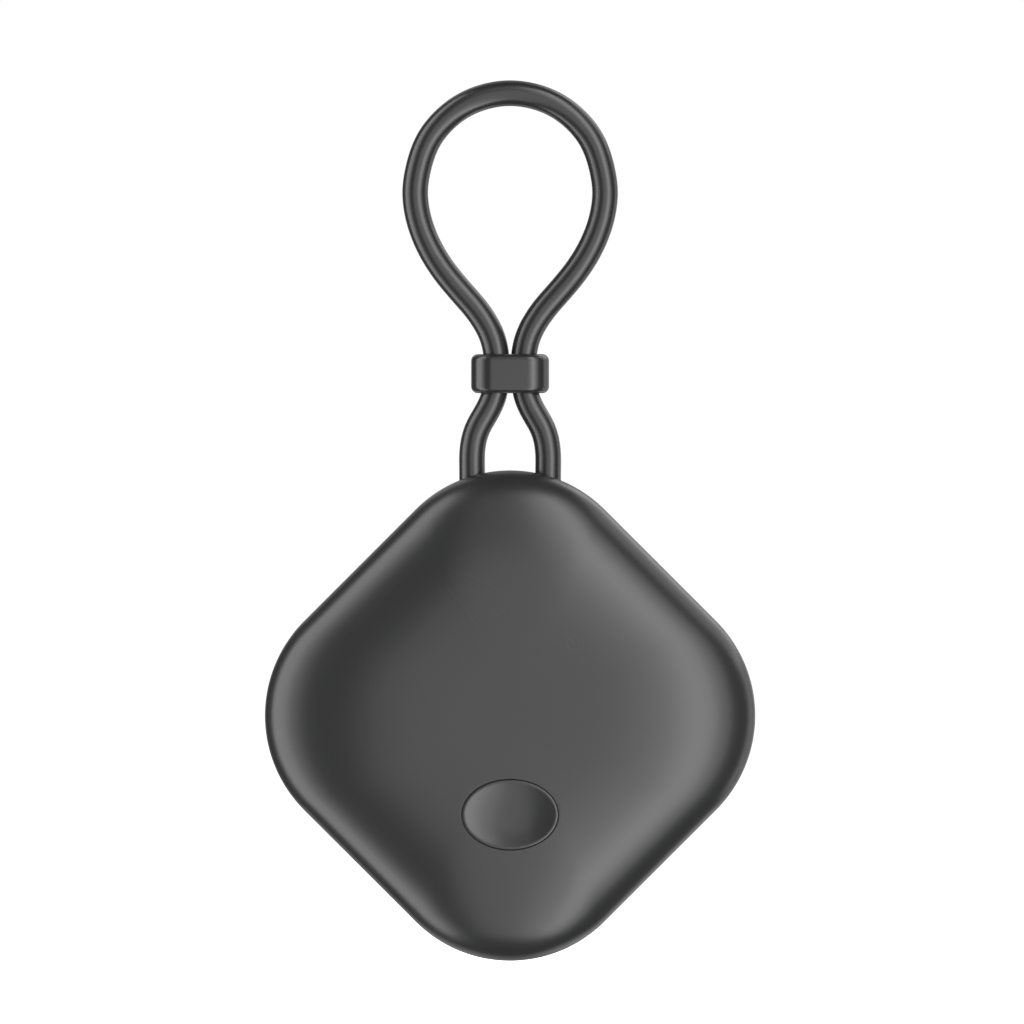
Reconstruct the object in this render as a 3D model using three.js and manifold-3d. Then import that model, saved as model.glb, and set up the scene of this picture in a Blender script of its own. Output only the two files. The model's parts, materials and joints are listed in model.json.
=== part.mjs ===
// A bluetooth tracker tag: a pillow-shaped rounded square that hangs by one corner from a cord loop.
// Units are millimetres. +X is to the right seen from the front, +Y runs from the front to the back
// and +Z is up. Pieces are placed from the housing's centre, and the whole tag is then moved so that
// the origin is its hang point, on the inside of the loop's top.

import * as THREE from 'three';
import { mergeVertices } from 'three/addons/utils/BufferGeometryUtils.js';
import Module from 'manifold-3d';

const wasm = await Module();
wasm.setup();

// Housing: a rounded square standing on a corner, split into two shells at the plane y = 0.
const TIP = 20;                 // centre to a corner's outermost point
const CORNER = 10.9;            // corner radius
const WALL = 1.2;
const FRONT = { rise: 5, power: 3, flat: 5 };
const REAR = { rise: 4.1, power: 8, flat: 4 };
const SEAM = 0.1;               // gap between the shells' parting faces
const TONGUE = { outer: 0.45, inner: 0.8, root: -0.3, height: 0.5, clearance: 0.06 };
const ROOM = 0.05;              // gap between pieces that locate each other
const MARK = { onShell: 12.9, onDoor: 10.7, locked: 0.5, open: 0.3, depth: 0.15 };

// Cord: its ends lie in slots in the rear shell's top corner, and are crimped into ferrules below it.
const CORD_DIAMETER = 2.1;
const CORD_X = 3.1;             // half the distance between the two exits
const CORD_Y = 1.15;            // from the parting plane back to the cord's middle
const CORD_END = 14.8;
const CORD_STEPS = 76;
const CORD_SLOT = 1.15;         // half the slot's width
const BLOCK_BOTTOM = 17.2;
const FERRULE = { radius: 1.45, bore: 1.12, bottom: 14, floor: 14.5, top: 17 };
const COLLAR = { halfWidth: 3.18, halfDepth: 1.85, height: 3.18, middle: 27.9, edge: 0.5 };
const COLLAR_SLOT = { halfWidth: 2.4, halfDepth: 1.18 };
const LOOP = { middle: 43.09, radius: 7.73 };

// The cord's right leg and the loop's side, as x and z; the loop's top is an arc.
const CORD_ROUTE = [
  [CORD_X, CORD_END],
  [CORD_X, 20],
  [3.1, 21.7],
  [2.73, 23.35],
  [1.88, 24.8],
  [1.26, 26.2],
  [1.11, 28],
  [1.13, 29.6],
  [1.55, 31.2],
  [2.63, 33],
  [4.1, 34.7],
  [5.45, 36.35],
  [6.51, 38.05],
  [7.26, 39.8],
  [7.69, 41.6],
];
const LOOP_TOP_ARC = { from: 3, step: 29, points: 3 };  // degrees above the loop's widest place

// Key: an ellipse near the bottom corner, dished, with a flange behind the housing's wall.
const KEY = { z: -8, halfWidth: 3.86, halfHeight: 2.8, gap: 0.13, flange: 0.44 };
const KEY_DEPTH = { flangeFront: -3.3, flangeBack: -3, postTip: -2.75 };
const KEY_POST = 0.9;
const KEY_SEAT = { margin: 0.9, front: -4.2, back: -3.4 };
const DISH = { halfWidth: 7.08, halfHeight: 5.05, halfDepth: 4, middle: -8.24 };
const BOOT = { foot: [3.9, 4.3], lip: [2.6, 3.2], web: 0.35 };
const SWITCH = { halfWidth: 1.6, halfHeight: 1.4, front: -2.4, floor: -1.85, bore: 0.9 };
const PLUNGER = { radius: 0.75, front: -2.7, back: -2.15 };
const DOME = { radius: 0.85, rise: 0.18, thickness: 0.08 };

// Board and buzzer, in front of the parting plane.
const BOARD = { tip: 17, corner: 9, front: -1.7, back: -0.9, topEdge: 13.2 };
const BUZZER = { z: 4.5, radius: 7.4, front: -3.05, back: -2.85 };
const BUZZER_SEAT = { inner: 6.7, outer: 7.6, front: -4.2 };
const LEAF = { half: 0.9, bend: 0.35, tail: -0.5, thickness: 0.15, width: 1.2 };
const CERAMIC = { radius: 5.2, front: -2.82, back: -2.65 };
const SOLDER = 0.02;            // gap between the board and a piece that is soldered to it

// Cell, cradle and door, behind the parting plane.
const CELL = { radius: 10, capRadius: 8.8, front: -0.5, step: -0.2, back: 2.7, edge: 0.25 };
const CRADLE = { bore: 10.2, radius: 10.9, window: 4.8, front: -0.85, floor: -0.55, top: 1.15 };
const EAR = { halfWidth: 1.7, back: -0.05, hole: 0.75 };
const CONTACT_GAP = 1.9;        // half the width of the cradle's gap for the positive contact
const CONTACT_WIDTH = 3;
const BLADE = { gap: 0.06, foot: 2.2, thickness: 0.2, tip: 0.9 };
const BOW = { left: -4, rise: -1.6, crown: [0.6, 1.6], right: 3.6, lift: 0.05, thickness: 0.12 };
const SCREW_PLACES = {          // degrees clockwise from +X, and the distance from the centre
  right: { turn: 0, distance: 13.3 },
  bottom: { turn: 90, distance: 14 },
  left: { turn: 180, distance: 13.3 },
};
const SCREW = { radius: 0.6, point: 0.5, head: 1.2, headBack: 0.6, edge: 0.15, tip: -2.8 };
const DRIVE = { halfWidth: 0.3, halfLength: 0.72, depth: 0.3 };
const BOSS = { radius: 1.5, bore: 0.7, front: -3.4, back: -1.75 };
const PORT = { recess: 12.15, floor: 3, bore: 10.65, lipFront: 2, radius: 13 };
const DOOR = { radius: 12, step: 11.5, neck: 10.5, skirt: 10.1, inside: 2.8, front: 1.3, edge: 0.15 };
const DOOR_STEP = { shallow: 3.4, deep: 3.1 };
const TABS = { radius: 11.3, back: 1.9, width: 24, count: 3 };
const NOTCH = { radius: 11.45, width: 30 };
const DOOR_TWIST = 30;          // degrees from locked to open
const COIN_SLOT = { halfWidth: 5.5, halfHeight: 0.9, depth: 0.6 };
const DOOR_SEAL = { radius: 11.77, middle: 3.2, thickness: 0.17 };

const MATERIALS = {
  housing: { color: 0x46484a, roughness: 0.45 },
  key: { color: 0x46484a, roughness: 0.4 },
  door: { color: 0x3d3f41, roughness: 0.5 },
  cord: { color: 0x3f4143, roughness: 0.45 },
  silicone: { color: 0x8d9092, roughness: 0.7 },
  cradle: { color: 0xd8d8d4, roughness: 0.55 },
  board: { color: 0x14452f, roughness: 0.5 },
  chip: { color: 0x191a1c, roughness: 0.4 },
  ceramic: { color: 0xe9e3d2, roughness: 0.35 },
  brass: { color: 0xc7a257, roughness: 0.3, metalness: 1 },
  gold: { color: 0xd8b45c, roughness: 0.25, metalness: 1 },
  steel: { color: 0xb9bcc0, roughness: 0.3, metalness: 1 },
};

const tag = new THREE.Group();

function addPart(name, material, geometry) {
  const mesh = new THREE.Mesh(geometry, new THREE.MeshStandardMaterial(MATERIALS[material]));
  mesh.name = name;
  tag.add(mesh);
}

// ---- Boolean work ----

function toSolid(geometry) {
  geometry.deleteAttribute('normal');
  geometry.deleteAttribute('uv');
  const merged = mergeVertices(geometry);
  return new wasm.Manifold(new wasm.Mesh({
    numProp: 3,
    vertProperties: merged.attributes.position.array,
    triVerts: new Uint32Array(merged.index.array),
  }));
}

function toGeometry(solid) {
  const { vertProperties, triVerts } = solid.getMesh();
  const geometry = new THREE.BufferGeometry();
  geometry.setAttribute('position', new THREE.BufferAttribute(vertProperties, 3));
  geometry.setIndex(new THREE.BufferAttribute(triVerts, 1));
  geometry.computeVertexNormals();
  return geometry;
}

function join(first, ...others) {
  return toGeometry(others.reduce((solid, other) => solid.add(toSolid(other)), toSolid(first)));
}

function cut(first, ...others) {
  return toGeometry(others.reduce((solid, other) => solid.subtract(toSolid(other)), toSolid(first)));
}

function overlap(first, second) {
  return toGeometry(toSolid(first).intersect(toSolid(second)));
}

// ---- Shapes; the depth of a plate, disc or ring runs along Y ----

function box([left, right], [front, back], [low, high]) {
  const geometry = new THREE.BoxGeometry(right - left, back - front, high - low);
  return geometry.translate((left + right) / 2, (front + back) / 2, (low + high) / 2);
}

function plate(shape, [front, back], curveSegments = 12) {
  const settings = { depth: back - front, bevelEnabled: false, curveSegments };
  return new THREE.ExtrudeGeometry(shape, settings).rotateX(Math.PI / 2).translate(0, back, 0);
}

function lathe(profile, segments = 24) {
  return new THREE.LatheGeometry(profile.map(([radius, y]) => new THREE.Vector2(radius, y)), segments);
}

function disc(radius, [front, back], segments) {
  return lathe([[0, front], [radius, front], [radius, back], [0, back]], segments);
}

function discAt({ radius, front, back }, z) {
  return disc(radius, [front, back], 32).translate(0, 0, z);
}

function ring(inner, outer, [front, back], segments) {
  return lathe([[inner, front], [outer, front], [outer, back], [inner, back], [inner, front]], segments);
}

function ellipse(halfWidth, halfHeight) {
  return new THREE.Shape().absellipse(0, 0, halfWidth, halfHeight, 0, 2 * Math.PI, false, 0);
}

function stadium(halfWidth, halfHeight) {
  const straight = halfWidth - halfHeight;
  const shape = new THREE.Shape();
  shape.absarc(straight, 0, halfHeight, -Math.PI / 2, Math.PI / 2, false);
  shape.absarc(-straight, 0, halfHeight, Math.PI / 2, 1.5 * Math.PI, false);
  return shape;
}

// A strip that is bent in the X-Y plane, and is width wide along Z.
function strip(outline, width) {
  const shape = new THREE.Shape(outline.map(([x, y]) => new THREE.Vector2(x, y)));
  const settings = { depth: width, bevelEnabled: false };
  return new THREE.ExtrudeGeometry(shape, settings).translate(0, 0, -width / 2);
}

// A stretch of a ring; angles are in degrees from +Z towards +X.
function ringSector(inner, outer, span, middle, width) {
  const start = THREE.MathUtils.degToRad(90 - middle - width / 2);
  const end = THREE.MathUtils.degToRad(90 - middle + width / 2);
  const shape = new THREE.Shape();
  shape.absarc(0, 0, outer, start, end, false);
  shape.absarc(0, 0, inner, end, start, true);
  return plate(shape, span, 4);
}

function roundedSquare(tip, corner) {
  const shape = new THREE.Shape();
  for (let side = 0; side < 4; side++) {
    const middle = side * Math.PI / 2;
    const x = (tip - corner) * Math.cos(middle);
    const y = (tip - corner) * Math.sin(middle);
    shape.absarc(x, y, corner, middle - Math.PI / 4, middle + Math.PI / 4, false);
  }
  return shape;
}

function housingBand(outerInset, innerInset, span) {
  const shape = roundedSquare(TIP - outerInset, CORNER - outerInset);
  shape.holes.push(roundedSquare(TIP - innerInset, CORNER - innerInset));
  return plate(shape, span, 8);
}

// Distance from the centre to a rounded square's edge, in a direction; its corners lie on X and Z.
function edgeDistance(angle, tip, corner) {
  const quarter = Math.PI / 2;
  const turn = Math.abs(angle - quarter * Math.round(angle / quarter));
  const offset = tip - corner;
  const tangent = Math.atan2(corner, offset * Math.SQRT2 + corner);
  if (turn > tangent) return (offset * Math.SQRT1_2 + corner) / Math.cos(quarter / 2 - turn);
  return offset * Math.cos(turn) + Math.sqrt(corner ** 2 - (offset * Math.sin(turn)) ** 2);
}

// Half a pillow, from y = -base up to y = flat. At a fraction f of the way from the centre to the
// edge it is rise * sqrt(1 - f ** power) high. Inset moves its surface inwards all over.
function pillow({ rise, power, flat }, { inset = 0, base = 0, segments = 64, rings = 9 } = {}) {
  const height = rise - inset;
  const top = flat - inset;
  const topTurn = Math.asin(top / height);
  const profile = [[0, -base]];
  if (base > 0) profile.push([1, -base]);
  for (let i = 0; i < rings; i++) {
    const turn = topTurn * i / rings;
    profile.push([Math.cos(turn) ** (2 / power), height * Math.sin(turn)]);
  }
  if (top < height) profile.push([Math.cos(topTurn) ** (2 / power), top]);
  profile.push([0, top]);

  const geometry = lathe(profile, segments);
  const position = geometry.attributes.position;
  for (let i = 0; i < position.count; i++) {
    const angle = Math.atan2(position.getX(i), position.getZ(i));
    const distance = edgeDistance(angle, TIP - inset, CORNER - inset);
    position.setX(i, position.getX(i) * distance);
    position.setZ(i, position.getZ(i) * distance);
  }
  return geometry;
}

// ---- Housing ----

function frontPillow(options) {
  return pillow(FRONT, options).rotateX(Math.PI);
}

// A shell's hollow ends below a block that the cord's slots are cut in.
function hollow(inside) {
  return cut(inside, box([-TIP, TIP], [-TIP, TIP], [BLOCK_BOTTOM, TIP]));
}

function upright(radius, [low, high], x) {
  return disc(radius, [low, high], 24).rotateX(Math.PI / 2).translate(x, CORD_Y, 0);
}

// The slots' openings to the front, which the front shell's parting face closes.
function slotMouths() {
  const heights = [BLOCK_BOTTOM - 1, TIP + 1];
  return [-CORD_X, CORD_X].map((x) => box([x - CORD_SLOT, x + CORD_SLOT], [0, CORD_Y], heights));
}

function cordSlots() {
  const pockets = [-CORD_X, CORD_X].flatMap((x) => [
    upright(CORD_SLOT, [BLOCK_BOTTOM - 1, TIP + 1], x),
    upright(FERRULE.radius + ROOM, [FERRULE.bottom - 1, BLOCK_BOTTOM], x),
  ]);
  return [...slotMouths(), ...pockets];
}

function mark(size, distance, turn = 0) {
  return disc(size, [REAR.flat - MARK.depth, REAR.flat + 1], 16)
    .translate(0, 0, distance)
    .rotateY(THREE.MathUtils.degToRad(turn));
}

function atScrew({ turn, distance }, geometry) {
  return geometry.translate(distance, 0, 0).rotateY(THREE.MathUtils.degToRad(turn));
}

function atScrews(makePiece) {
  return Object.values(SCREW_PLACES).map((place) => atScrew(place, makePiece()));
}

function frontShell() {
  const inside = frontPillow({ inset: WALL, base: 0.5, segments: 40, rings: 6 });
  const buzzerSeat = ring(
    BUZZER_SEAT.inner,
    BUZZER_SEAT.outer,
    [BUZZER_SEAT.front, BUZZER.front - ROOM],
    36,
  );
  const keySeat = ellipse(KEY.halfWidth + KEY_SEAT.margin, KEY.halfHeight + KEY_SEAT.margin);
  const keyOpening = ellipse(KEY.halfWidth + KEY.gap, KEY.halfHeight + KEY.gap);
  const shell = join(
    cut(frontPillow(), hollow(inside)),
    plate(keySeat, [KEY_SEAT.front, KEY_SEAT.back]).translate(0, 0, KEY.z),
    buzzerSeat.translate(0, 0, BUZZER.z),
    housingBand(TONGUE.outer, TONGUE.inner, [TONGUE.root, TONGUE.height]),
    ...atScrews(() => disc(BOSS.radius, [BOSS.front, BOSS.back], 16)),
  );
  return cut(
    shell,
    plate(keyOpening, [-TIP, KEY_DEPTH.flangeBack]).translate(0, 0, KEY.z),
    ...atScrews(() => disc(BOSS.bore, [SCREW.tip - 0.2, 0], 12)),
    ...slotMouths(),
  );
}

function rearShell() {
  const inside = pillow(REAR, { inset: WALL, base: 0.5, segments: 40, rings: 6 });
  const { outer, inner, height, clearance } = TONGUE;
  const shell = join(
    cut(pillow(REAR), hollow(inside)),
    ring(PORT.bore, PORT.radius, [PORT.lipFront, PORT.floor], 48),
  );
  const notches = [];
  for (let i = 0; i < TABS.count; i++) {
    const middle = DOOR_TWIST + i * 360 / TABS.count;
    notches.push(ringSector(PORT.bore - 1, NOTCH.radius, [1, PORT.floor + 0.5], middle, NOTCH.width));
  }
  return cut(
    shell,
    box([-2 * TIP, 2 * TIP], [-1, SEAM], [-2 * TIP, 2 * TIP]),
    disc(PORT.bore, [1, TIP], 48),
    disc(PORT.recess, [PORT.floor, TIP], 48),
    housingBand(outer - clearance, inner + clearance, [-1, height + 0.1]),
    mark(MARK.locked, MARK.onShell),
    mark(MARK.open, MARK.onShell, DOOR_TWIST),
    ...notches,
    ...cordSlots(),
  );
}

// ---- Key and its switch ----

function keyEllipse(profile, segments = 40) {
  return lathe(profile, segments).scale(1, 1, KEY.halfHeight / KEY.halfWidth).translate(0, 0, KEY.z);
}

function keyCap() {
  const { flangeFront, flangeBack, postTip } = KEY_DEPTH;
  const flangeRadius = KEY.halfWidth + KEY.flange;
  const blankBack = (flangeFront + flangeBack) / 2;
  const blank = keyEllipse([[0, -TIP], [KEY.halfWidth, -TIP], [KEY.halfWidth, blankBack], [0, blankBack]]);
  const foot = keyEllipse([
    [0, flangeFront],
    [flangeRadius, flangeFront],
    [flangeRadius, flangeBack],
    [KEY_POST, flangeBack],
    [KEY_POST, postTip],
    [0, postTip],
  ]);
  const dish = new THREE.SphereGeometry(1, 48, 32);
  dish.scale(DISH.halfWidth, DISH.halfDepth, DISH.halfHeight).translate(0, DISH.middle, KEY.z);
  return join(cut(overlap(blank, frontPillow()), dish), foot);
}

// A silicone skirt that stands on the board round the switch, and carries the key's flange.
function keyBoot() {
  const { foot, lip } = BOOT;
  const front = KEY_DEPTH.flangeBack + ROOM;
  const back = BOARD.front - ROOM;
  const [footInner, footOuter] = foot;
  const [lipInner, lipOuter] = lip;
  return keyEllipse([
    [lipInner, front],
    [lipOuter, front],
    [lipOuter, front + BOOT.web],
    [footOuter, back - BOOT.web],
    [footOuter, back],
    [footInner, back],
    [footInner, back - BOOT.web],
    [lipInner, front + BOOT.web],
    [lipInner, front],
  ]);
}

function switchBody() {
  const { halfWidth, halfHeight, front, floor, bore } = SWITCH;
  const body = box([-halfWidth, halfWidth], [front, BOARD.front - SOLDER], [-halfHeight, halfHeight]);
  return cut(body, disc(bore, [front - 1, floor], 16)).translate(0, 0, KEY.z);
}

function switchDome() {
  const { radius, rise, thickness } = DOME;
  const base = SWITCH.floor - SOLDER;
  return lathe([
    [0, base - rise - thickness],
    [radius / 2, base - rise * 0.75 - thickness],
    [radius, base - thickness],
    [radius, base],
    [radius / 2, base - rise * 0.75],
    [0, base - rise],
  ], 16).translate(0, 0, KEY.z);
}

// ---- Board and what is soldered to it ----

function mainBoard() {
  const board = plate(roundedSquare(BOARD.tip, BOARD.corner), [BOARD.front, BOARD.back]);
  return cut(
    board,
    box([-TIP, TIP], [-TIP, TIP], [BOARD.topEdge, TIP]),
    ...atScrews(() => disc(EAR.hole, [-TIP, TIP], 12)),
  );
}

// A block soldered to the board's front, with its size along X, Y and Z.
function boardBlock([width, depth, height], [x, z], turn = 0) {
  const block = new THREE.BoxGeometry(width, depth, height);
  block.rotateY(THREE.MathUtils.degToRad(turn));
  return block.translate(x, BOARD.front - SOLDER - depth / 2, z);
}

// A folded spring leaf from the board's front to a depth that it presses on.
function leafContact(reach, [x, z]) {
  const { half, bend, tail, thickness, width } = LEAF;
  const foot = BOARD.front - SOLDER;
  const tip = reach + SOLDER;
  return strip([
    [-half, foot],
    [-half, foot - thickness],
    [bend, foot - thickness],
    [-half, tip + thickness],
    [-half, tip],
    [half, tip],
    [half, tip + thickness],
    [tail, tip + thickness],
    [half, foot - thickness],
    [half, foot],
  ], width).translate(x, 0, z);
}

// ---- Cell and its cradle ----

function coinCell() {
  const { radius, capRadius, front, step, back, edge } = CELL;
  return lathe([
    [0, front],
    [capRadius - edge, front],
    [capRadius, step],
    [radius - edge, step],
    [radius, step + edge],
    [radius, back - edge],
    [radius - edge, back],
    [0, back],
  ], 48);
}

function batteryCradle() {
  const { bore, radius, window, front, floor, top } = CRADLE;
  const { halfWidth, back, hole } = EAR;
  const ears = Object.values(SCREW_PLACES).map(({ turn, distance }) => {
    const arm = box([bore - distance, 0], [front, back], [-halfWidth, halfWidth]);
    return atScrew({ turn, distance }, join(arm, disc(halfWidth, [front, back], 16)));
  });
  return cut(
    join(
      ring(bore, radius, [front, top], 48),
      ring(window, bore + 0.3, [front, floor], 48),
      ...ears,
    ),
    ...atScrews(() => disc(hole, [-TIP, TIP], 12)),
    box([-CONTACT_GAP, CONTACT_GAP], [-TIP, TIP], [bore - 0.5, radius + 1]),
  );
}

// A leaf bowed up from the board's back, which presses on the cell's smaller face.
function negativeContact() {
  const { left, rise, right, lift, thickness } = BOW;
  const [crownLeft, crownRight] = BOW.crown;
  const foot = BOARD.back + SOLDER;
  const crown = CELL.front - SOLDER;
  return strip([
    [left, foot],
    [rise, foot],
    [crownLeft, crown - thickness],
    [crownRight, crown - thickness],
    [right, foot + lift],
    [right, foot + lift + thickness],
    [crownRight, crown],
    [crownLeft, crown],
    [rise, foot + thickness],
    [left, foot + thickness],
  ], CONTACT_WIDTH);
}

// A blade that stands on the board's back in the cradle's gap, against the cell's side.
function positiveContact() {
  const { thickness, tip } = BLADE;
  const foot = BOARD.back + SOLDER;
  const blade = CELL.radius + BLADE.gap;
  const heel = blade + BLADE.foot;
  return strip([
    [blade, foot],
    [heel, foot],
    [heel, foot + thickness],
    [blade + thickness, foot + thickness],
    [blade + thickness, tip],
    [blade, tip],
  ], CONTACT_WIDTH).rotateY(-Math.PI / 2);
}

function screw() {
  const { radius, point, head, headBack, edge, tip } = SCREW;
  const { halfWidth, halfLength, depth } = DRIVE;
  const blank = lathe([
    [0, tip],
    [radius / 2, tip],
    [radius, tip + point],
    [radius, 0],
    [head, 0],
    [head, headBack - edge],
    [head - edge, headBack],
    [0, headBack],
  ], 16);
  const recess = [headBack - depth, headBack + 1];
  return cut(
    blank,
    box([-halfWidth, halfWidth], recess, [-halfLength, halfLength]),
    box([-halfLength, halfLength], recess, [-halfWidth, halfWidth]),
  );
}

// ---- Battery door ----

function batteryDoor() {
  const { radius, step, neck, skirt, inside, front, edge } = DOOR;
  const { shallow, deep } = DOOR_STEP;
  const tabs = [];
  for (let i = 0; i < TABS.count; i++) {
    tabs.push(ringSector(neck - 0.2, TABS.radius, [front, TABS.back], i * 360 / TABS.count, TABS.width));
  }
  const body = lathe([
    [0, inside],
    [skirt, inside],
    [skirt, front],
    [neck, front],
    [neck, deep],
    [step, deep],
    [step, shallow],
    [radius, shallow],
    [radius, REAR.flat - edge],
    [radius - edge, REAR.flat],
    [0, REAR.flat],
  ], 64);
  const slot = plate(stadium(COIN_SLOT.halfWidth, COIN_SLOT.halfHeight), [REAR.flat - COIN_SLOT.depth, TIP]);
  return cut(join(body, ...tabs), slot, mark(MARK.locked, MARK.onDoor));
}

function doorSeal() {
  const { radius, middle, thickness } = DOOR_SEAL;
  const profile = [];
  for (let i = 0; i <= 8; i++) {
    const angle = i * Math.PI / 4;
    profile.push([radius + thickness * Math.cos(angle), middle + thickness * Math.sin(angle)]);
  }
  profile[8] = profile[0];
  return lathe(profile, 48);
}

// ---- Cord ----

// The whole route: one leg, the loop and the other leg.
function cordCurve() {
  const rightSide = CORD_ROUTE.map(([x, z]) => new THREE.Vector3(x, CORD_Y, z));
  for (let i = 0; i < LOOP_TOP_ARC.points; i++) {
    const angle = THREE.MathUtils.degToRad(LOOP_TOP_ARC.from + i * LOOP_TOP_ARC.step);
    const x = LOOP.radius * Math.cos(angle);
    rightSide.push(new THREE.Vector3(x, CORD_Y, LOOP.middle + LOOP.radius * Math.sin(angle)));
  }
  const leftSide = rightSide.map(({ x, y, z }) => new THREE.Vector3(-x, y, z)).reverse();
  const top = new THREE.Vector3(0, CORD_Y, LOOP.middle + LOOP.radius);
  return new THREE.CatmullRomCurve3([...rightSide, top, ...leftSide]);
}

function cord() {
  const section = new THREE.Shape();
  for (let i = 0; i < 8; i++) {
    const angle = i * Math.PI / 4;
    const point = [Math.cos(angle) * CORD_DIAMETER / 2, Math.sin(angle) * CORD_DIAMETER / 2];
    if (i === 0) section.moveTo(...point);
    else section.lineTo(...point);
  }
  return new THREE.ExtrudeGeometry(section, { steps: CORD_STEPS, extrudePath: cordCurve() });
}

function ferrule(x) {
  const { radius, bore, bottom, floor, top } = FERRULE;
  return lathe([[0, bottom], [radius, bottom], [radius, top], [bore, top], [bore, floor], [0, floor]], 20)
    .rotateX(Math.PI / 2)
    .translate(x, CORD_Y, 0);
}

function collar() {
  const { halfWidth, halfDepth, height, middle, edge } = COLLAR;
  const bevel = { bevelThickness: edge, bevelSize: edge, bevelSegments: 3 };
  const settings = { depth: height - 2 * edge, curveSegments: 8, ...bevel };
  const body = new THREE.ExtrudeGeometry(stadium(halfWidth - edge, halfDepth - edge), settings);
  body.translate(0, 0, edge - height / 2);
  const slotShape = stadium(COLLAR_SLOT.halfWidth, COLLAR_SLOT.halfDepth);
  const slotSettings = { depth: 2 * height, bevelEnabled: false, curveSegments: 6 };
  const slot = new THREE.ExtrudeGeometry(slotShape, slotSettings);
  return cut(body, slot.translate(0, 0, -height)).translate(0, CORD_Y, middle);
}

// ---- Assembly ----

addPart('front_shell', 'housing', frontShell());
addPart('rear_shell', 'housing', rearShell());
addPart('key_cap', 'key', keyCap());
addPart('key_boot', 'silicone', keyBoot());
addPart('switch_body', 'chip', switchBody());
addPart('switch_dome', 'steel', switchDome());
addPart('switch_plunger', 'cradle', discAt(PLUNGER, KEY.z));

addPart('main_board', 'board', mainBoard());
addPart('radio_chip', 'chip', boardBlock([5, 0.85, 5], [-2.6, 2.4]));
addPart('main_crystal', 'steel', boardBlock([2, 0.5, 1.6], [2.4, 0.4]));
addPart('sleep_crystal', 'ceramic', boardBlock([1.2, 0.6, 2], [2.4, 3.6]));
addPart('boost_inductor', 'chip', boardBlock([3, 1, 3], [-8.8, -2.8]));
addPart('chip_antenna', 'ceramic', boardBlock([7, 0.5, 1.6], [9, -9], -45));
[[-0.2, 7.4], [-7, -6.5], [6.6, -6.4], [5.4, -3.2]].forEach((place, i) => {
  addPart(`capacitor_${i + 1}`, 'ceramic', boardBlock([1, 0.5, 0.5], place));
});

addPart('buzzer_plate', 'brass', discAt(BUZZER, BUZZER.z));
addPart('buzzer_ceramic', 'ceramic', discAt(CERAMIC, BUZZER.z));
addPart('buzzer_contact_plate', 'gold', leafContact(BUZZER.back, [6.35, BUZZER.z]));
addPart('buzzer_contact_ceramic', 'gold', leafContact(CERAMIC.back, [2.4, 7]));

addPart('coin_cell', 'steel', coinCell());
addPart('battery_cradle', 'cradle', batteryCradle());
addPart('contact_negative', 'gold', negativeContact());
addPart('contact_positive', 'gold', positiveContact());
Object.entries(SCREW_PLACES).forEach(([side, place]) => {
  addPart(`cradle_screw_${side}`, 'steel', atScrew(place, screw()));
});

addPart('battery_door', 'door', batteryDoor());
addPart('door_seal', 'silicone', doorSeal());

addPart('cord_loop', 'cord', cord());
addPart('cord_collar', 'cord', collar());
addPart('cord_ferrule_left', 'brass', ferrule(-CORD_X));
addPart('cord_ferrule_right', 'brass', ferrule(CORD_X));

// The hang point is the inside of the loop's top.
tag.position.set(0, -CORD_Y, CORD_DIAMETER / 2 - LOOP.middle - LOOP.radius);

export default tag;
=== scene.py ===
"""Looks of the bluetooth tracker tag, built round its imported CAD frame. +Z is up and the front faces -Y."""

import json
import math

import bpy
import numpy as np
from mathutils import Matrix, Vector


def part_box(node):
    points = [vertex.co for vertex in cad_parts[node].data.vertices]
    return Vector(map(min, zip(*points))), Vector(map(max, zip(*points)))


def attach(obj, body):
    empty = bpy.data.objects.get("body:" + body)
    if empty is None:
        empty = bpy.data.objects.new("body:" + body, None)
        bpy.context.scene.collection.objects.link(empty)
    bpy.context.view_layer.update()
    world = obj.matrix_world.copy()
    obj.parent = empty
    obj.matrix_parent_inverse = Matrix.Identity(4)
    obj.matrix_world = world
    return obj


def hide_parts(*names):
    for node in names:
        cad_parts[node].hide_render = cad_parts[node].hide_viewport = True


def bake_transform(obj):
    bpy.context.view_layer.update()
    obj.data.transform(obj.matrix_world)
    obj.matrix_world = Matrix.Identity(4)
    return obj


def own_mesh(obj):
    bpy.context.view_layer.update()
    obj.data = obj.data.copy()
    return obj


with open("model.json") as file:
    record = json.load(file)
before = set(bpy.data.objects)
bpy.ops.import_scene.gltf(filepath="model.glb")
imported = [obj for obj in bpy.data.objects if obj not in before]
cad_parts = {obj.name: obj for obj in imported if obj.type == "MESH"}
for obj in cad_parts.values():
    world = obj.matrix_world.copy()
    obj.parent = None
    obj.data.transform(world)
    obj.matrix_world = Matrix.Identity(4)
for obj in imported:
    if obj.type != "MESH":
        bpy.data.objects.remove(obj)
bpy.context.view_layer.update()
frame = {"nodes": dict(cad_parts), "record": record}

MM = 0.001

# ---- Driving sizes; places come from the CAD nodes ----

shell_low, shell_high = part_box("front_shell")
door_low, door_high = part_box("battery_door")
rear_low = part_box("rear_shell")[0]
collar_low, collar_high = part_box("cord_collar")
cord_low, cord_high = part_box("cord_loop")
key_low, key_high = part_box("key_cap")

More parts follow.
